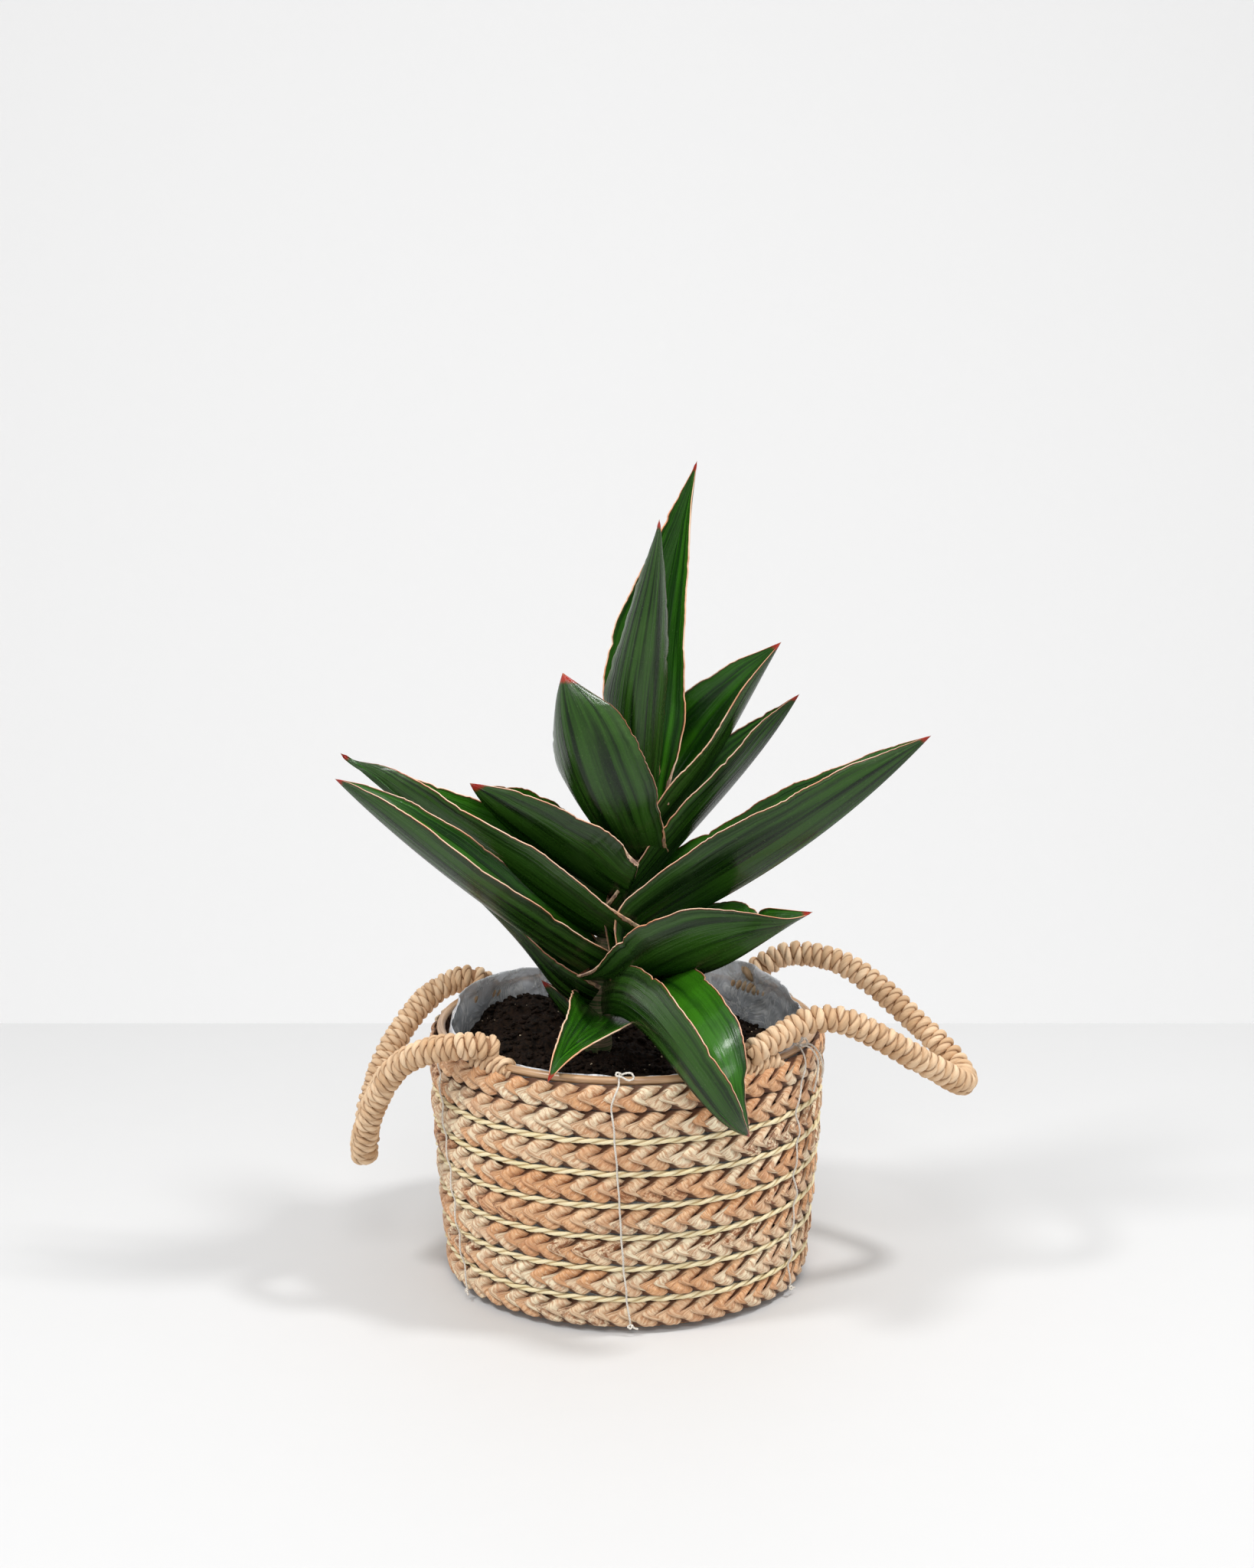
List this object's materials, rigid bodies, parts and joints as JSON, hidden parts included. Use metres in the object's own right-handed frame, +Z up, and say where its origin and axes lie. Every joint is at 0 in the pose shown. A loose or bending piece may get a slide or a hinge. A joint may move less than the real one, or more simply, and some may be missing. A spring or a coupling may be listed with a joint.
{
  "type": "potted snake plant",
  "caption": "Dwarf snake plant with boat-shaped, red-edged leaves on a short leaning stem, growing in compost in a film-lined plaited basket with two rope handles.",
  "frame": {"origin": "centre of the basket's flat underside", "axes": "+Z up; -Y is the front, where the short and the drooping leaf reach over the rim; +X towards the right handle"},
  "size_m": [0.3459, 0.2466, 0.4445],
  "materials": {
    "plait": "flat plaited strips of dried water-plant leaf, matt with a slight fibre sheen",
    "piping": "thin twisted cord of pale yellow grass",
    "rod": "light brown varnished cane",
    "mat": "flat coiled plait",
    "thread": "undyed cotton thread",
    "rope": "twisted paper cord wound over a stiff core",
    "film": "thin clear crumpled film",
    "compost": "damp dark potting compost with a few pale grains",
    "stem": "short green stem with dry pinkish leaf bases",
    "leaf": "thick waxy leaf, dark green with darker lengthwise stripes and a cream and dark red edge"
  },
  "bodies": {
    "root": {"plait_row_1": "plait", "plait_row_2": "plait", "plait_row_3": "plait", "plait_row_4": "plait", "plait_row_5": "plait", "plait_row_6": "plait", "plait_row_7": "plait", "plait_row_8": "plait", "piping_cord_1": "piping", "piping_cord_2": "piping", "piping_cord_3": "piping", "piping_cord_4": "piping", "piping_cord_5": "piping", "piping_cord_6": "piping", "rim_rod": "rod", "base_binding": "plait", "base_mat": "mat", "stitch_thread_1": "thread", "stitch_thread_2": "thread", "stitch_thread_3": "thread", "stitch_thread_4": "thread", "stitch_thread_5": "thread", "stitch_thread_6": "thread", "handle_left": "rope", "handle_right": "rope", "liner_film": "film", "soil": "compost", "stem": "stem", "leaf_01_left_lowest": "leaf", "leaf_02_front_short": "leaf", "leaf_03_front_drooping": "leaf", "leaf_04_left_lower": "leaf", "leaf_05_right_curved": "leaf", "leaf_06_left_long_lower": "leaf", "leaf_07_left_long_upper": "leaf", "leaf_08_right_long": "leaf", "leaf_09_left_short": "leaf", "leaf_10_right_middle": "leaf", "leaf_11_right_upper": "leaf", "leaf_12_upright_broad": "leaf", "leaf_13_centre_front": "leaf", "leaf_14_centre_tallest": "leaf"}
  },
  "joints": []
}
